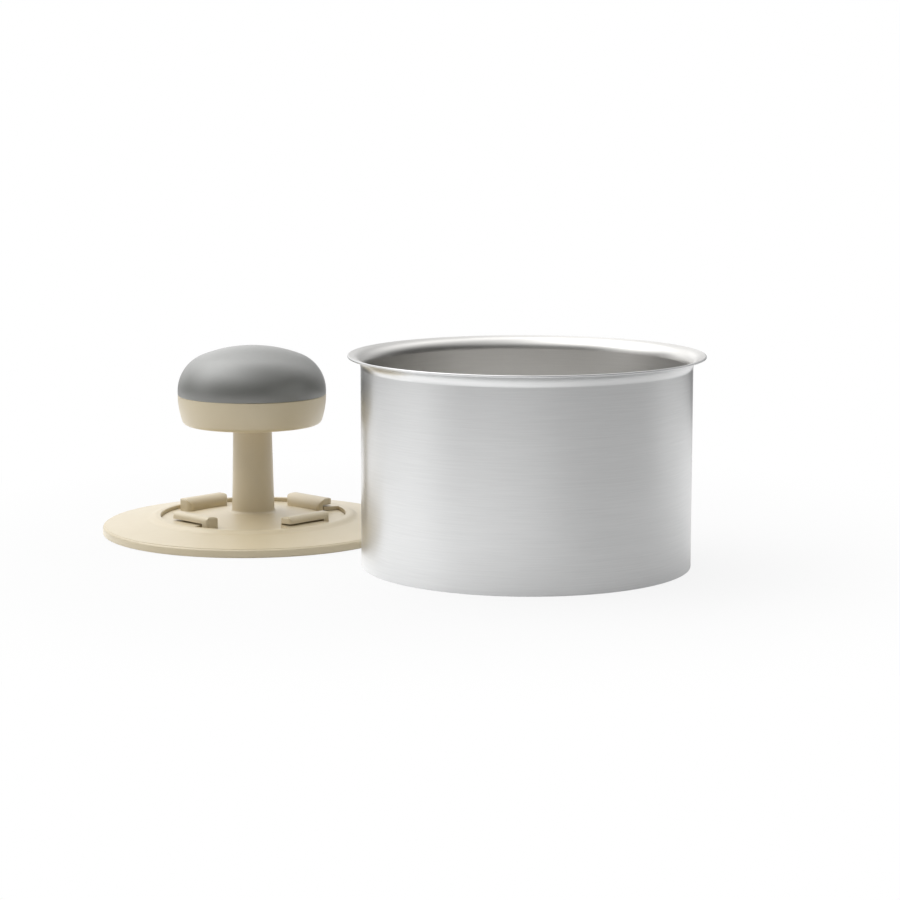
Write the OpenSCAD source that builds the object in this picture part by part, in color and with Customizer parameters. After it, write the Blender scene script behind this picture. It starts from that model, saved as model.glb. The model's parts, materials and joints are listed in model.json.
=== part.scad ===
// Burger press: a flared steel forming ring and a hand press that stands beside it.
// The origin is on the table at the ring's axis, +Z is up and +Y points away from the viewer.

/* [Ring] */
// Inside diameter of the ring, which is the patty's diameter
ring_bore_d = 114; // [100:0.5:130]
// Sheet thickness of the ring
ring_wall = 0.8; // [0.5:0.1:1.5]
// Height of the ring with its rim
ring_h = 74; // [50:0.5:90]
// How far the flared rim stands out from the wall
rim_reach = 4.6; // [3.5:0.1:7]
// Bend radius under the rim
rim_bend_r = 3.4; // [2:0.1:3.6]
// Angle the sheet is bent through, from upright
rim_angle = 75; // [60:1:80]

/* [Place beside the ring] */
// Direction from the ring to the press, seen from above
press_direction = 147.3; // [90:0.1:180]
// Gap between the rim and the plate, seen from above
stand_gap = 1; // [0.5:0.1:20]

/* [Press plate] */
// Running gap between the plate and the ring's bore
plate_gap = 0.7; // [0.3:0.1:1.5]
// Thickness of the plate at its edge
plate_edge_t = 3; // [2.5:0.1:5]
// Rounding of the plate's upper edge
plate_edge_round = 0.9; // [0.3:0.1:1.2]
// Small rounding of the edges that lie on the table
base_round = 0.4; // [0.2:0.1:0.8]
// Rise of the plate's top from the edge to the collar
plate_rise = 2.4; // [1:0.1:5]
// Width of the collar's level top, round the opening
collar_w = 1.6; // [1:0.1:3]
// Height of the collar above the plate's top
collar_h = 1.1; // [0.6:0.1:2]
// Slope of the collar's outer side
collar_slope = 30; // [24:1:45]
// Radius of the curves at the top and the foot of that slope
collar_blend_r = 3.5; // [1:0.1:3.6]
// Small rounding of the collar's inner edge
collar_edge_round = 0.3; // [0.1:0.1:0.5]
// How far a ledge reaches in from the collar
ledge_reach = 5.9; // [4:0.1:7]
// Thickness of a ledge
ledge_t = 1.3; // [0.8:0.1:2]
// Angle that a ledge covers
ledge_span = 31; // [24:0.5:34]

/* [Stamp] */
// Gap between the stamp and the plate's opening
stamp_gap = 0.3; // [0.15:0.05:0.6]
// Gap under the ledges, on the stamp's floor
seat_gap = 0.15; // [0.05:0.05:0.4]
// Rise of the floor from the claws to the stem
floor_rise = 2.2; // [0.5:0.1:4]

/* [Claws] */
// Number of claws and ledges
claw_count = 4; // [3:1:4]
// Direction of the first claw, seen from above
claw_direction = 46; // [0:1:89]
// Length of a claw
claw_len = 20; // [16:0.5:22]
// Thickness of a claw's root, inside its slot
claw_root_t = 3.4; // [2.5:0.1:5]
// Overhang of a claw's lip over the ledge
claw_lip_w = 3; // [2.5:0.1:3.8]
// Height of a claw's lip above its slot
claw_lip_t = 2.5; // [2.2:0.1:4]
// Rounding along a claw's outer top edge
claw_round = 1.6; // [0.8:0.1:2]
// Rounding along a claw's inner top edge, which slopes to the floor
claw_back_round = 3.6; // [2:0.1:3.8]
// Rounding of the top at a claw's two ends
claw_end_round = 0.9; // [0.4:0.1:1.4]
// Rounding of a claw's outer corners, seen from above
claw_corner_r = 1.2; // [0.5:0.1:1.6]
// Rounding of a claw's inner corners, seen from above
claw_back_corner_r = 2.4; // [1:0.1:3]
// Gap between a ledge and the lip above it
lip_gap = 0.7; // [0.2:0.05:0.9]
// Gap between a ledge and a claw's root
root_gap = 0.4; // [0.2:0.05:0.8]
// Length of the solid tooth that closes a slot
tooth_len = 3; // [2.5:0.1:5]
// Gap between the tooth and the ledge's end
tooth_gap = 1.1; // [0.4:0.1:2]

/* [Stem] */
// Diameter of the stem under the knob
stem_top_d = 14.4; // [14:0.1:18]
// Diameter of the stem above its foot
stem_foot_d = 15.9; // [15:0.1:20]
// Fillet round the stem's foot
stem_fillet = 1; // [0.5:0.1:3]
// Diameter of the spigot that enters the knob
spigot_d = 12; // [10:0.1:12.5]
// Width across the spigot's two flats
spigot_flats = 10; // [8:0.1:11]
// Length of the spigot
spigot_len = 7.4; // [5:0.1:8]
// Gap round and above the spigot
spigot_gap = 0.1; // [0.05:0.05:0.2]

/* [Knob] */
// Height of the knob's underside above the table
knob_z = 40.5; // [36:0.5:60]
// Largest diameter of the knob
knob_d = 55.4; // [50:0.1:60]
// Clearance that lets the plate pass over the knob
knob_pass_gap = 1.1; // [0.6:0.1:3]
// Height of the bowl, from the underside to the seam
bowl_h = 11.1; // [11:0.1:16]
// Radius of the bowl's bulging side
bowl_side_r = 30; // [24:1:80]
// Rounding of the bowl's lower edge
bowl_edge_r = 2.2; // [1:0.1:3]
// Small rounding of the bowl's and the skin's edges at the seam
seam_round = 0.3; // [0.1:0.1:0.6]
// Thickness of the bowl's side
bowl_wall = 3; // [2.8:0.1:4]
// Thickness of the bowl's floor
bowl_floor = 2.5; // [2:0.1:3]
// Height of the dome above the seam
dome_h = 18.2; // [17.5:0.1:26]
// Straight skirt of the dome above the seam
dome_skirt = 1.4; // [0.5:0.1:2]
// Radius of the dome's shoulder
shoulder_r = 14.3; // [10:0.1:15.5]
// Thickness of the soft skin on the dome
skin_t = 1.6; // [1:0.1:2]
// Gap between the skin and the core
bond_gap = 0.05; // [0.02:0.01:0.1]
// Thickness of the core under the skin
core_wall = 2; // [1.6:0.1:3]
// Depth of the core's skirt inside the bowl
core_skirt_h = 3.5; // [2:0.1:5]
// Thickness of the core's skirt
core_skirt_t = 1.6; // [1:0.1:2.5]
// Gap between the core's skirt and the bowl
core_gap = 0.15; // [0.05:0.05:0.3]

/* [Fastening] */
// Diameter of the screw's shank
screw_d = 4; // [3:0.1:5]
// Length of the screw's shank under its head
screw_len = 20; // [16:0.5:26]
// Diameter of the screw's pan head
screw_head_d = 7.8; // [7:0.1:9]
// Height of the screw's pan head
screw_head_h = 2.6; // [2:0.1:3]
// Width of the screw's drive slot
screw_slot_w = 1.1; // [0.8:0.1:1.5]
// Diameter of the washer
washer_d = 10; // [9.5:0.1:14]
// Thickness of the washer
washer_t = 1; // [0.6:0.1:1.2]
// Gap round the screw in its holes
screw_gap = 0.1; // [0.05:0.05:0.2]
// Wall round the spigot's socket
boss_wall = 3; // [2:0.1:4]
// Thickness of the web under the washer
web_t = 2; // [1.5:0.1:3]

/* [Hidden] */
$fn = 96;
steel = "silver";
cream = "wheat";
grey = "dimgray";
// Overlap of joined shapes of one solid
join = 0.6;

// Ring and plate
ring_bore_r = ring_bore_d / 2;
ring_r = ring_bore_r + ring_wall;
rim_r = ring_r + rim_reach;
plate_r = ring_bore_r - plate_gap;
press_distance = rim_r + plate_r + stand_gap;
press_place = press_distance * [cos(press_direction), sin(press_direction), 0];

// The plate's opening clears the knob by the ledges' inner edges
knob_r = knob_d / 2;
ledge_inner_r = knob_r + knob_pass_gap;
opening_r = ledge_inner_r + ledge_reach;
collar_flat_r = opening_r + collar_w;
collar_top_r = collar_flat_r + collar_blend_r * tan(collar_slope / 2);
collar_r = collar_top_r + collar_h / tan(collar_slope);
collar_base_z = plate_edge_t + plate_rise;
collar_top_z = collar_base_z + collar_h;

// The stamp's floor carries the ledges
stamp_r = opening_r - stamp_gap;
floor_z = collar_top_z - ledge_t - seat_gap;
hub_z = floor_z + floor_rise;
stem_foot_r = stem_foot_d / 2;
hub_r = stem_foot_r + stem_fillet;

// Claws, measured from the press's axis
slot_r = ledge_inner_r - root_gap;
slot_z = collar_top_z + lip_gap;
claw_inner = slot_r - claw_root_t;
claw_w = claw_root_t + claw_lip_w;
floor_edge_r = claw_inner + claw_root_t / 2;
claw_top_z = slot_z + claw_lip_t;
tooth_face = claw_len / 2 - tooth_len;
ledge_mid_r = (ledge_inner_r + opening_r) / 2;
ledge_end_a = atan2(tooth_face - tooth_gap, ledge_mid_r);

// Knob
seam_z = knob_z + bowl_h;
shoulder_z = seam_z + dome_skirt;
crown_h = dome_h - dome_skirt;
shoulder_x = knob_r - shoulder_r;
crown_r = (shoulder_x * shoulder_x + crown_h * crown_h - shoulder_r * shoulder_r)
    / (2 * (crown_h - shoulder_r));
crown_z = shoulder_z + crown_h - crown_r;
shoulder_a = atan2(shoulder_z - crown_z, shoulder_x);
bowl_inner_r = knob_r - bowl_wall;
spigot_z = knob_z + spigot_len;
socket_z = spigot_z + spigot_gap;
web_z = socket_z + web_t;
boss_r = spigot_d / 2 + spigot_gap + boss_wall;
screw_r = screw_d / 2;

// A wedge between two directions less than half a turn apart, twice as long as a radius
module wedge(r, from, to) {
    far = 2 * r;
    mid = (from + to) / 2;
    polygon([
        [0, 0],
        far * [cos(from), sin(from)],
        far * [cos(mid), sin(mid)],
        far * [cos(to), sin(to)]
    ]);
}

// A slice of a disc between two directions
module disc_slice(r, from, to) {
    intersection() {
        circle(r);
        wedge(r, from, to);
    }
}

// What lies outside a disc between two directions
module round_cut(r, from, to) {
    difference() {
        wedge(r, from, to);
        circle(r);
    }
}

// What a rounding of radius r takes off a square corner at the origin, pointing to +X and +Y
module corner_cut(r) {
    translate([-r, -r]) round_cut(r, 0, 90);
}

module at_press() {
    translate(press_place) children();
}

// Repeats round the press's axis, with +X pointing outwards through the claw's middle
module each_claw() {
    for (i = [0 : claw_count - 1]) {
        rotate(claw_direction + i * 360 / claw_count) children();
    }
}

// Half section of the ring: straight wall, bend and rounded lip
module ring_section() {
    bend_c = ring_r + rim_bend_r;
    lip_rise = 90 - rim_angle;
    half = ring_wall / 2;
    arc_r = rim_bend_r + half;
    lip_len = (rim_r - half - bend_c + arc_r * cos(rim_angle)) / cos(lip_rise);
    lip_end = arc_r * [-cos(rim_angle), sin(rim_angle)] + lip_len * [cos(lip_rise), sin(lip_rise)];
    bend_z = ring_h - half - lip_end.y;
    translate([ring_bore_r, 0]) square([ring_wall, bend_z]);
    translate([bend_c, bend_z]) {
        difference() {
            disc_slice(rim_bend_r + ring_wall, 180 - rim_angle, 180);
            circle(rim_bend_r);
        }
        rotate(lip_rise) translate([0, rim_bend_r]) square([lip_len, ring_wall]);
        translate(lip_end) circle(half);
    }
}

// Half section of the plate: flat face down, sloping top and a collar that curves into it
module plate_section() {
    edge = [plate_r, plate_edge_t];
    foot = [collar_r, collar_base_z];
    slope = atan2(plate_rise, plate_r - collar_r);
    foot_len = collar_blend_r * tan((collar_slope - slope) / 2);
    foot_c = foot + foot_len * [cos(slope), -sin(slope)] + collar_blend_r * [sin(slope), cos(slope)];
    difference() {
        union() {
            polygon([
                [opening_r, 0],
                [plate_r, 0],
                edge,
                foot,
                [collar_top_r, collar_top_z],
                [opening_r, collar_top_z]
            ]);
            translate(foot_c) round_cut(collar_blend_r, 270 - collar_slope, 270 - slope);
        }
        translate([collar_flat_r, collar_top_z - collar_blend_r])
            round_cut(collar_blend_r, 90 - collar_slope, 90);
        translate(edge) corner_cut(plate_edge_round);
        translate([opening_r, collar_top_z]) mirror([1, 0]) corner_cut(collar_edge_round);
        translate([plate_r, 0]) mirror([0, 1]) corner_cut(base_round);
    }
}

// Half section of the stamp and the stem in one moulding
module hub_section() {
    difference() {
        polygon([
            [0, 0],
            [stamp_r, 0],
            [stamp_r, floor_z],
            [floor_edge_r, floor_z],
            [hub_r, hub_z],
            [stem_foot_r, hub_z],
            [stem_foot_r, hub_z + stem_fillet],
            [stem_top_d / 2, knob_z],
            [0, knob_z]
        ]);
        translate([stamp_r, 0]) mirror([0, 1]) corner_cut(base_round);
    }
    translate([stem_foot_r, hub_z]) {
        difference() {
            translate([-join, -join]) square(stem_fillet + join);
            translate([stem_fillet, stem_fillet]) circle(stem_fillet);
            translate([stem_fillet, -join]) square(join);
        }
    }
}

// A round bar across the spigot with two flats, which stops the knob from turning
module double_flat(d, flats, h) {
    linear_extrude(h) intersection() {
        circle(d = d);
        square([flats, 2 * d], center = true);
    }
}

// Section across a claw, with its outer side to the right
module claw_section() {
    base_z = floor_z - join;
    difference() {
        translate([0, base_z]) square([claw_w, claw_top_z - base_z]);
        translate([claw_w, claw_top_z]) corner_cut(claw_round);
        translate([0, claw_top_z]) mirror([1, 0]) corner_cut(claw_back_round);
    }
}

// Outline of a claw from above, with rounded corners
module claw_outline() {
    difference() {
        translate([0, -claw_len / 2]) square([claw_w, claw_len]);
        for (end = [0, 1]) mirror([0, end]) {
            translate([claw_w, claw_len / 2]) corner_cut(claw_corner_r);
            translate([0, claw_len / 2]) mirror([1, 0]) corner_cut(claw_back_corner_r);
        }
    }
}

// Outline of a claw from its outer side, with rounded ends
module claw_side() {
    difference() {
        translate([-claw_len / 2, 0]) square([claw_len, claw_top_z]);
        for (end = [0, 1]) mirror([end, 0]) {
            translate([claw_len / 2, claw_top_z]) corner_cut(claw_end_round);
        }
    }
}

// One claw: a rounded bar whose lip overhangs a slot that the tooth closes at one end
module claw() {
    slot_len = claw_len + tooth_len;
    difference() {
        translate([claw_inner, 0, 0]) intersection() {
            rotate([90, 0, 0]) linear_extrude(2 * claw_len, center = true) claw_section();
            linear_extrude(2 * claw_top_z) claw_outline();
            rotate([90, 0, 90]) linear_extrude(3 * claw_w, center = true) claw_side();
        }
        difference() {
            translate([0, tooth_face - slot_len, 0]) cube([2 * stamp_r, slot_len, slot_z]);
            cylinder(r = slot_r, h = claw_top_z);
        }
    }
}

// A ledge lies flush with the collar's top and ends just before the tooth
module ledge() {
    rotate(ledge_end_a - ledge_span)
        rotate_extrude(angle = ledge_span)
            translate([ledge_inner_r, collar_top_z - ledge_t])
                square([ledge_reach + join, ledge_t]);
}

// Half section of the dome, set in from the knob's outside by an inset
module dome_section(inset) {
    difference() {
        intersection() {
            translate([0, crown_z]) circle(crown_r - inset);
            translate([0, seam_z]) square([knob_r - inset, dome_h]);
        }
        translate([shoulder_x, shoulder_z]) round_cut(shoulder_r - inset, 0, shoulder_a);
    }
}

// Half section of the bowl's outside, with a bulging side and a rounded lower edge
module bowl_section() {
    side_c = [knob_r - bowl_side_r, seam_z];
    edge_z = knob_z + bowl_edge_r;
    reach = bowl_side_r - bowl_edge_r;
    edge_x = side_c.x + sqrt(reach * reach - (seam_z - edge_z) * (seam_z - edge_z));
    edge_a = atan2(edge_z - seam_z, edge_x - side_c.x);
    seam_x = side_c.x + sqrt(bowl_side_r * bowl_side_r - seam_round * seam_round);
    difference() {
        intersection() {
            translate(side_c) circle(bowl_side_r);
            translate([0, knob_z]) square([knob_r, bowl_h]);
        }
        translate([edge_x, edge_z]) round_cut(bowl_edge_r, -90, edge_a);
        translate([seam_x, seam_z]) corner_cut(seam_round);
    }
}

module forming_ring() {
    color(steel) rotate_extrude() ring_section();
}

module press_plate() {
    color(cream) at_press() {
        rotate_extrude() plate_section();
        each_claw() ledge();
    }
}

module stamp_hub() {
    pilot_depth = screw_len - web_t - washer_t + spigot_gap + screw_d;
    color(cream) at_press() difference() {
        union() {
            rotate_extrude() hub_section();
            translate([0, 0, knob_z - join]) double_flat(spigot_d, spigot_flats, spigot_len + join);
            each_claw() claw();
        }
        translate([0, 0, spigot_z - pilot_depth])
            cylinder(r = screw_r + screw_gap, h = 2 * pilot_depth);
    }
}

module knob_base() {
    floor_top_z = knob_z + bowl_floor;
    socket_low_z = knob_z - spigot_len;
    color(cream) at_press() difference() {
        union() {
            difference() {
                rotate_extrude() bowl_section();
                translate([0, 0, floor_top_z]) cylinder(r = bowl_inner_r, h = bowl_h);
            }
            translate([0, 0, floor_top_z - join]) cylinder(r = boss_r, h = web_z - floor_top_z + join);
        }
        translate([0, 0, socket_low_z])
            double_flat(
                spigot_d + 2 * spigot_gap,
                spigot_flats + 2 * spigot_gap,
                socket_z - socket_low_z
            );
        translate([0, 0, knob_z]) cylinder(r = screw_r + screw_gap, h = bowl_h);
    }
}

module knob_core() {
    outer = skin_t + bond_gap;
    skirt_r = bowl_inner_r - core_gap;
    color(grey) at_press() rotate_extrude() {
        difference() {
            dome_section(outer);
            dome_section(outer + core_wall);
        }
        translate([skirt_r - core_skirt_t, seam_z - core_skirt_h])
            square([core_skirt_t, core_skirt_h + join]);
    }
}

module knob_grip() {
    color(grey) at_press() rotate_extrude() difference() {
        dome_section(0);
        dome_section(skin_t);
        translate([knob_r, seam_z]) mirror([0, 1]) corner_cut(seam_round);
    }
}

module screw_washer() {
    color(steel) at_press() translate([0, 0, web_z]) difference() {
        cylinder(d = washer_d, h = washer_t);
        translate([0, 0, -washer_t]) cylinder(r = screw_r + screw_gap, h = 3 * washer_t);
    }
}

module knob_screw() {
    head_z = web_z + washer_t;
    color(steel) at_press() difference() {
        union() {
            translate([0, 0, head_z - screw_len]) cylinder(r = screw_r, h = screw_len + join);
            translate([0, 0, head_z]) cylinder(d = screw_head_d, h = screw_head_h);
        }
        translate([0, 0, head_z + screw_head_h])
            cube([2 * screw_head_d, screw_slot_w, screw_head_h], center = true);
    }
}

forming_ring();
press_plate();
stamp_hub();
knob_base();
knob_core();
knob_grip();
knob_screw();
screw_washer();
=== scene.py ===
import json
import math

import bpy
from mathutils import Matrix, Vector

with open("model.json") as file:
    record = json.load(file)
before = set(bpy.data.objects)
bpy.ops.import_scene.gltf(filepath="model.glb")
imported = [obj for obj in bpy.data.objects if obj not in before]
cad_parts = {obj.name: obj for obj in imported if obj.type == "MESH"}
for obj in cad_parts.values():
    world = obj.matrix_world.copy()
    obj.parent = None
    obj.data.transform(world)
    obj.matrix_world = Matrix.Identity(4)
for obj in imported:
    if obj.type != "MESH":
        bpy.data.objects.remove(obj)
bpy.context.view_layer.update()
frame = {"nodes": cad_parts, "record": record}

MM = 0.001
WHITE = (1, 1, 1, 1)

# Sockets of a Mix node that mixes colours, whose names are also those of its other kinds
MIX_FIRST_COLOR = 6
MIX_SECOND_COLOR = 7
MIX_COLOR_RESULT = 2

# Camera, as fitted to the ring's rim and base in the photograph
IMAGE_SIDE_PX = 900
FOCAL_PX = 2553.7
SENSOR_MM = 36.0
CAMERA_PLACE = Vector((-26.66, -883.2, 174.1)) * MM
CAMERA_PITCH_DEG = 8.62
CAMERA_CLIP_START = 0.05
CAMERA_CLIP_END = 50

# Noise values lie mostly between these two
NOISE_LOW = 0.3
NOISE_HIGH = 0.7

# Brushed steel: two colours on each side of the wall, the inside ones paler and warmer as painted light
# on the same steel, range of roughness and the shader's other values
STEEL_OUTSIDE = ((0.63, 0.634, 0.634), (0.675, 0.679, 0.679))
STEEL_INSIDE_PAINTED_LIGHT = ((0.705, 0.695, 0.675), (0.745, 0.735, 0.715))
STEEL_ROUGHNESS = (0.31, 0.34)
STEEL_SOCKETS = {"Metallic": 1.0, "Anisotropic": 0.6, "Anisotropic Rotation": 0.25}

# Brush strokes: cells per metre along and across them, and detail of the noise
FINE_STROKES = (70, 2600, 3.0)
BROAD_STROKES = (25, 160, 2.0)
STROKE_NOISE_ROUGHNESS = 0.6
STROKE_BUMP_STRENGTH = 0.015
STROKE_BUMP_DEPTH = 0.03 * MM

# Zinc-plated steel, with a spangle of so many cells per metre
ZINC_COLORS = ((0.52, 0.53, 0.55), (0.62, 0.63, 0.64))
ZINC_ROUGHNESS = (0.28, 0.42)
ZINC_SPANGLE = 900
ZINC_BUMP_STRENGTH = 0.1

# Plastics: clouds in the colour and patches in the gloss, in cells per metre, and each one's own values
CLOUDS = 70
PATCHES = 420
CLOUD_DETAIL = 3.0
GRAIN_NOISE_ROUGHNESS = 0.6
GRAIN_BUMP_DEPTH = 0.02 * MM
PLASTICS = {
    "cream_plastic": {
        "deep": (0.612, 0.52, 0.346),
        "pale": (0.63, 0.538, 0.362),
        "roughness": (0.42, 0.48),
        "grain": 1500,
        "grain_strength": 0.05,
        "sockets": {"Coat Weight": 1.0, "Coat Roughness": 0.48, "Coat IOR": 1.6},
    },
    "grip_skin": {
        "deep": (0.122, 0.124, 0.112),
        "pale": (0.13, 0.132, 0.12),
        "roughness": (0.36, 0.42),
        "grain": 2000,
        "grain_strength": 0.05,
        "sockets": {
            "Specular IOR Level": 1.0,
            "Coat Weight": 1.0,
            "Coat Roughness": 0.42,
            "Coat IOR": 1.75,
        },
    },
    "core_plastic": {
        "deep": (0.09, 0.09, 0.085),
        "pale": (0.11, 0.11, 0.105),
        "roughness": (0.4, 0.55),
        "grain": 1800,
        "grain_strength": 0.15,
        "sockets": {},
    },
}

# Soft lights of the studio: azimuth from +X and elevation in degrees, sharpness and strength
SOFT_LIGHTS = {
    "top": (0, 90, 16, 0.2),
    "upper_left": (182, 58, 18, 1.95),
    "upper_left_front": (240, 55, 22, 1.0),
    "upper_right_front": (300, 55, 22, 0.45),
    "upper_right": (0, 58, 22, 0.4),
    "upper_back_right": (60, 56, 22, 1.0),
    "upper_back_left": (125, 55, 22, 1.6),
    "left": (172, 34, 28, 1.4),
    "back_left": (120, 34, 28, 0.7),
    "back_right": (45, 34, 28, 0.7),
    "low_left": (195, 10, 40, 0.5),
    "low_back_left": (127, 10, 40, 0.9),
    "backdrop": (98, 14, 100, 0.85),
    "low_back": (90, 10, 40, 0.4),
    "low_back_right": (60, 10, 40, 0.4),
}

# White backdrop as glossy rays see it: it fades out up the ray's Z and fades in along its Y
BACKDROP_TOP = (0.02, 0.08)
BACKDROP_SIDE = (0.94, 0.985)

# White table, which ends behind the object; it takes a soft shadow near the object only
TABLE_CORNERS = [(-1.5, -2.0), (1.5, -2.0), (1.5, 0.35), (-1.5, 0.35)]
TABLE_DROP = 0.05 * MM
TABLE_CENTRE = (-0.03, 0.03, 0)
TABLE_COLOR = (0.73, 0.73, 0.73, 1)
SHADOW_NEAR = 0.12
SHADOW_FAR = 0.24
SHADOW_SHARE = 0.15

# Pools of light on the table that glossy rays see: place, reach, end of the fading and strength
POOLS = {
    "front": ((-0.05, -0.26, 0), 0.05, 0.22, 0.34),
    "left": ((-0.22, 0.05, 0), 0.1, 0.42, 0.58),
    "right": ((0.36, 0.2, 0), 0.1, 0.3, 0.35),
}


def add(tree, kind, values=None, **settings):
    """Adds a shader node with attributes and, by socket name, input values."""
    node = tree.nodes.new(kind)
    for name, value in settings.items():
        setattr(node, name, value)
    for name, value in (values or {}).items():
        node.inputs[name].default_value = value
    return node


def feed(tree, node, values):
    """Fills a node's inputs in order, with plain values or the outputs of other nodes."""
    for socket, value in zip(node.inputs, values):
        if isinstance(value, bpy.types.NodeSocket):
            tree.links.new(value, socket)
        else:
            socket.default_value = value


def calc(tree, operation, *values):
    """The result of a Math node."""
    node = add(tree, "ShaderNodeMath", operation=operation)
    feed(tree, node, values)
    return node.outputs["Value"]


def vector_calc(tree, operation, *values):
    """The results of a Vector Math node, Vector and Value."""
    node = add(tree, "ShaderNodeVectorMath", operation=operation)
    feed(tree, node, values)
    return node.outputs


def remapped(tree, value, start, end, low, high, course):
    """Goes from low to high while the value goes from start to end."""
    node = add(
        tree,
        "ShaderNodeMapRange",
        {"From Min": start, "From Max": end, "To Min": low, "To Max": high},
        interpolation_type=course,
    )
    tree.links.new(value, node.inputs["Value"])
    return node.outputs["Result"]


def eased(tree, value, start, end, low, high):
    """Goes from low to high, with soft ends, while the value goes from start to end."""
    return remapped(tree, value, start, end, low, high, "SMOOTHSTEP")


def ranged(tree, value, low, high):
    """A noise value spread from low to high."""
    return remapped(tree, value, NOISE_LOW, NOISE_HIGH, low, high, "LINEAR")


def tinted(tree, value, first, second):
    """A colour between two, by a noise value."""
    node = add(tree, "ShaderNodeMix", data_type="RGBA")
    tree.links.new(ranged(tree, value, 0.0, 1.0), node.inputs["Factor"])
    node.inputs[MIX_FIRST_COLOR].default_value = (*first, 1)
    node.inputs[MIX_SECOND_COLOR].default_value = (*second, 1)
    return node.outputs[MIX_COLOR_RESULT]


def mixed(tree, share, first, second):
    """The first shader where the share is 0 and the second where it is 1."""
    node = add(tree, "ShaderNodeMixShader")
    feed(tree, node, (share, first, second))
    return node.outputs["Shader"]


def place_coords(tree):
    """The point's place in the object's frame, in metres."""
    return add(tree, "ShaderNodeTexCoord").outputs["Object"]


def scaled(tree, vector, factors):
    return vector_calc(tree, "MULTIPLY", vector, factors)["Vector"]


def noise(tree, cells, detail=2.0, roughness=0.5):
    """Noise from 0 to 1 with so many cells per metre."""
    node = add(tree, "ShaderNodeTexNoise", {"Scale": 1.0, "Detail": detail, "Roughness": roughness})
    place = scaled(tree, place_coords(tree), (cells, cells, cells))
    tree.links.new(place, node.inputs["Vector"])
    return node.outputs["Fac"]


def brush_noise(tree, along, across, detail):
    """Strokes that run round the Z axis: long that way, fine up the wall and out over the rim."""
    place = place_coords(tree)
    radius = vector_calc(tree, "LENGTH", scaled(tree, place, (1, 1, 0)))["Value"]
    node = add(
        tree,
        "ShaderNodeTexNoise",
        {"Scale": 1.0, "Detail": detail, "Roughness": STROKE_NOISE_ROUGHNESS},
        noise_dimensions="4D",
    )
    tree.links.new(scaled(tree, place, (along, along, across)), node.inputs["Vector"])
    tree.links.new(calc(tree, "MULTIPLY", radius, across), node.inputs["W"])
    return node.outputs["Fac"]


def faces_axis(tree):
    """1 on the ring's inside, where the surface faces the Z axis, and 0 on its outside."""
    outward = scaled(tree, place_coords(tree), (1, 1, 0))
    normal = add(tree, "ShaderNodeNewGeometry").outputs["Normal"]
    return calc(tree, "LESS_THAN", vector_calc(tree, "DOT_PRODUCT", outward, normal)["Value"], 0.0)


def bumped(tree, height, strength, depth):
    node = add(tree, "ShaderNodeBump", {"Strength": strength, "Distance": depth})
    tree.links.new(height, node.inputs["Height"])
    return node.outputs["Normal"]


def new_material(name):
    """A material with no nodes yet."""
    material = bpy.data.materials.new(name)
    material.use_nodes = True
    material.node_tree.nodes.clear()
    return material, material.node_tree


def new_surface(name, sockets):
    """A material with a Principled shader wired to its output."""
    material, tree = new_material(name)
    output = add(tree, "ShaderNodeOutputMaterial")
    shader = add(tree, "ShaderNodeBsdfPrincipled", sockets)
    tree.links.new(shader.outputs["BSDF"], output.inputs["Surface"])
    return material, tree, shader


def brushed_steel():
    material, tree, shader = new_surface("brushed_steel", STEEL_SOCKETS)
    fine = brush_noise(tree, *FINE_STROKES)
    broad = brush_noise(tree, *BROAD_STROKES)
    colour = add(tree, "ShaderNodeMix", data_type="RGBA")
    tree.links.new(faces_axis(tree), colour.inputs["Factor"])
    tree.links.new(tinted(tree, fine, *STEEL_OUTSIDE), colour.inputs[MIX_FIRST_COLOR])
    # The inside of the wall takes paler, warmer colours than the outside of the same steel: painted
    # light
    tree.links.new(tinted(tree, fine, *STEEL_INSIDE_PAINTED_LIGHT), colour.inputs[MIX_SECOND_COLOR])
    tree.links.new(colour.outputs[MIX_COLOR_RESULT], shader.inputs["Base Color"])
    tree.links.new(ranged(tree, broad, *STEEL_ROUGHNESS), shader.inputs["Roughness"])
    tangent = add(tree, "ShaderNodeTangent", direction_type="RADIAL", axis="Z")
    tree.links.new(tangent.outputs["Tangent"], shader.inputs["Tangent"])
    strokes = bumped(tree, fine, STROKE_BUMP_STRENGTH, STROKE_BUMP_DEPTH)
    tree.links.new(strokes, shader.inputs["Normal"])
    return material


def zinc_steel():
    material, tree, shader = new_surface("zinc_steel", {"Metallic": 1.0})
    spangle = noise(tree, ZINC_SPANGLE)
    tree.links.new(tinted(tree, spangle, *ZINC_COLORS), shader.inputs["Base Color"])
    tree.links.new(ranged(tree, spangle, *ZINC_ROUGHNESS), shader.inputs["Roughness"])
    relief = bumped(tree, spangle, ZINC_BUMP_STRENGTH, GRAIN_BUMP_DEPTH)
    tree.links.new(relief, shader.inputs["Normal"])
    return material


def moulded_plastic(name, deep, pale, roughness, grain, grain_strength, sockets):
    """Satin plastic: faint clouds in its colour and gloss over a fine moulded grain."""
    material, tree, shader = new_surface(name, sockets)
    clouds = noise(tree, CLOUDS, CLOUD_DETAIL)
    patches = noise(tree, PATCHES, CLOUD_DETAIL)
    texture = noise(tree, grain, roughness=GRAIN_NOISE_ROUGHNESS)
    tree.links.new(tinted(tree, clouds, deep, pale), shader.inputs["Base Color"])
    tree.links.new(ranged(tree, patches, *roughness), shader.inputs["Roughness"])
    relief = bumped(tree, texture, grain_strength, GRAIN_BUMP_DEPTH)
    tree.links.new(relief, shader.inputs["Normal"])
    return material


def paint_nodes():
    looks = {slot: moulded_plastic(slot, **values) for slot, values in PLASTICS.items()}
    looks["ring_steel"] = brushed_steel()
    looks["zinc_steel"] = zinc_steel()
    for part in frame["record"]["subparts"]:
        node = frame["nodes"][part["node"]]
        node.data.materials[0] = looks[part["material_slot"]]


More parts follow.
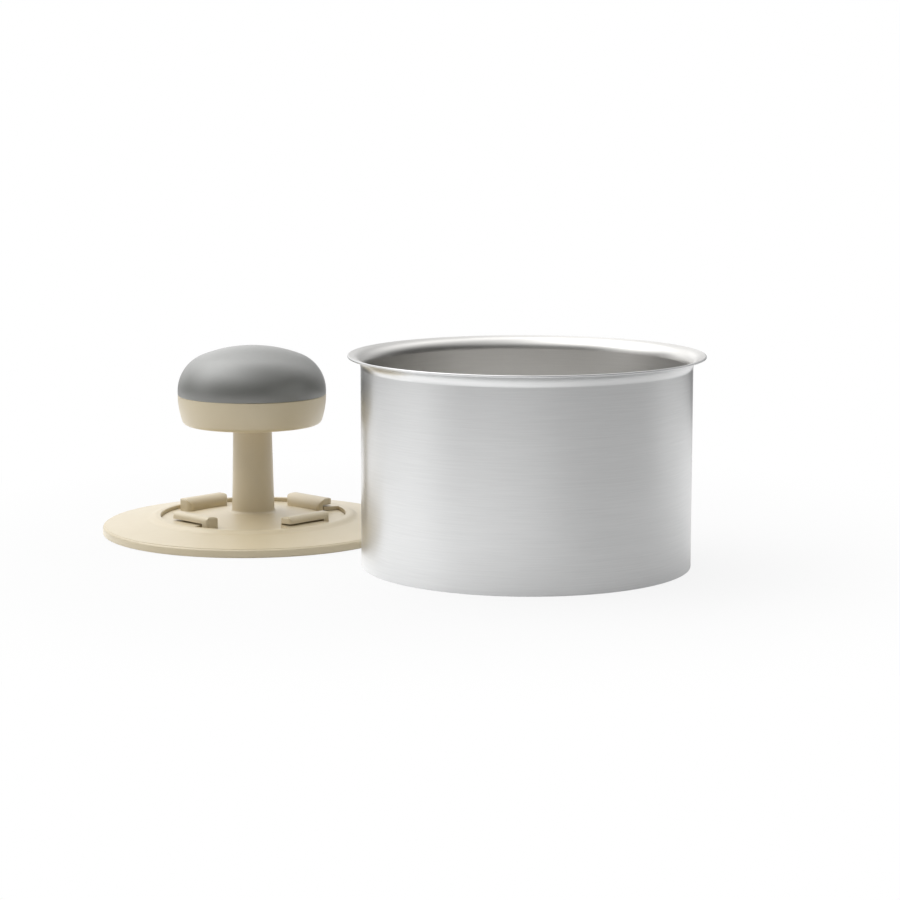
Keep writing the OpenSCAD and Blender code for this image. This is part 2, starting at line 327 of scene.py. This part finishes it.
def make_camera():
    data = bpy.data.cameras.new("camera")
    data.sensor_width = SENSOR_MM
    data.lens = FOCAL_PX / IMAGE_SIDE_PX * SENSOR_MM
    data.clip_start = CAMERA_CLIP_START
    data.clip_end = CAMERA_CLIP_END
    camera = bpy.data.objects.new("camera", data)
    camera.location = CAMERA_PLACE
    camera.rotation_euler = (math.radians(90 - CAMERA_PITCH_DEG), 0, 0)
    bpy.context.scene.collection.objects.link(camera)
    bpy.context.scene.camera = camera


def looked_at(tree, path):
    """1 for rays from the camera and for those that have passed through a surface."""
    return calc(tree, "MAXIMUM", path["Is Camera Ray"], path["Is Transmission Ray"])


def table_white():
    """White to the camera apart from a soft shadow, and a pale table to everything else."""
    material, tree = new_material("table_white")
    path = add(tree, "ShaderNodeLightPath").outputs
    place = place_coords(tree)

    away = vector_calc(tree, "DISTANCE", place, TABLE_CENTRE)["Value"]
    share = eased(tree, away, SHADOW_NEAR, SHADOW_FAR, 1 - SHADOW_SHARE, 1)
    shown = calc(tree, "MULTIPLY", looked_at(tree, path), share)
    diffuse = add(tree, "ShaderNodeBsdfDiffuse", {"Color": TABLE_COLOR})
    white = add(tree, "ShaderNodeEmission", {"Color": WHITE, "Strength": 1.0})
    top = mixed(tree, shown, diffuse.outputs["BSDF"], white.outputs["Emission"])

    glow = 0.0
    for centre, near, far, strength in POOLS.values():
        apart = vector_calc(tree, "DISTANCE", place, centre)["Value"]
        glow = calc(tree, "ADD", glow, eased(tree, apart, near, far, strength, 0))
    light = add(tree, "ShaderNodeEmission", {"Color": WHITE})
    mirrored = calc(tree, "MULTIPLY", path["Is Glossy Ray"], glow)
    tree.links.new(mirrored, light.inputs["Strength"])

    both = add(tree, "ShaderNodeAddShader")
    feed(tree, both, (top, light.outputs["Emission"]))
    output = add(tree, "ShaderNodeOutputMaterial")
    tree.links.new(both.outputs["Shader"], output.inputs["Surface"])
    return material


def make_table():
    mesh = bpy.data.meshes.new("table")
    mesh.from_pydata([(x, y, -TABLE_DROP) for x, y in TABLE_CORNERS], [], [(0, 1, 2, 3)])
    mesh.materials.append(table_white())
    table = bpy.data.objects.new("table", mesh)
    bpy.context.scene.collection.objects.link(table)


def soft_light(tree, direction, azimuth, elevation, sharpness, strength):
    """Light from one part of the sky, strongest at its middle and fading out all round."""
    turn = math.radians(azimuth)
    rise = math.radians(elevation)
    middle = (math.cos(turn) * math.cos(rise), math.sin(turn) * math.cos(rise), math.sin(rise))
    cosine = vector_calc(tree, "DOT_PRODUCT", direction, middle)["Value"]
    nearness = calc(tree, "MULTIPLY_ADD", cosine, 0.5, 0.5)
    return calc(tree, "MULTIPLY", calc(tree, "POWER", nearness, sharpness), strength)


def make_world():
    """White to the camera, white low behind the table to glossy rays, else the studio's soft lights."""
    world = bpy.data.worlds.new("studio")
    bpy.context.scene.world = world
    world.use_nodes = True
    tree = world.node_tree
    tree.nodes.clear()
    path = add(tree, "ShaderNodeLightPath").outputs
    direction = add(tree, "ShaderNodeTexCoord").outputs["Generated"]

    total = 0.0
    for values in SOFT_LIGHTS.values():
        total = calc(tree, "ADD", total, soft_light(tree, direction, *values))
    studio = add(tree, "ShaderNodeBackground", {"Color": WHITE})
    tree.links.new(total, studio.inputs["Strength"])

    parts = add(tree, "ShaderNodeSeparateXYZ")
    tree.links.new(direction, parts.inputs["Vector"])
    low = eased(tree, parts.outputs["Z"], *BACKDROP_TOP, 1, 0)
    behind = eased(tree, parts.outputs["Y"], *BACKDROP_SIDE, 0, 1)
    mirrored = calc(tree, "MULTIPLY", path["Is Glossy Ray"], calc(tree, "MULTIPLY", low, behind))
    shown = calc(tree, "MAXIMUM", looked_at(tree, path), mirrored)
    backdrop = add(tree, "ShaderNodeBackground", {"Color": WHITE, "Strength": 1.0})

    sky = mixed(tree, shown, studio.outputs["Background"], backdrop.outputs["Background"])
    output = add(tree, "ShaderNodeOutputWorld")
    tree.links.new(sky, output.inputs["Surface"])


make_camera()
paint_nodes()
make_table()
make_world()
bpy.context.scene.view_settings.view_transform = "Standard"
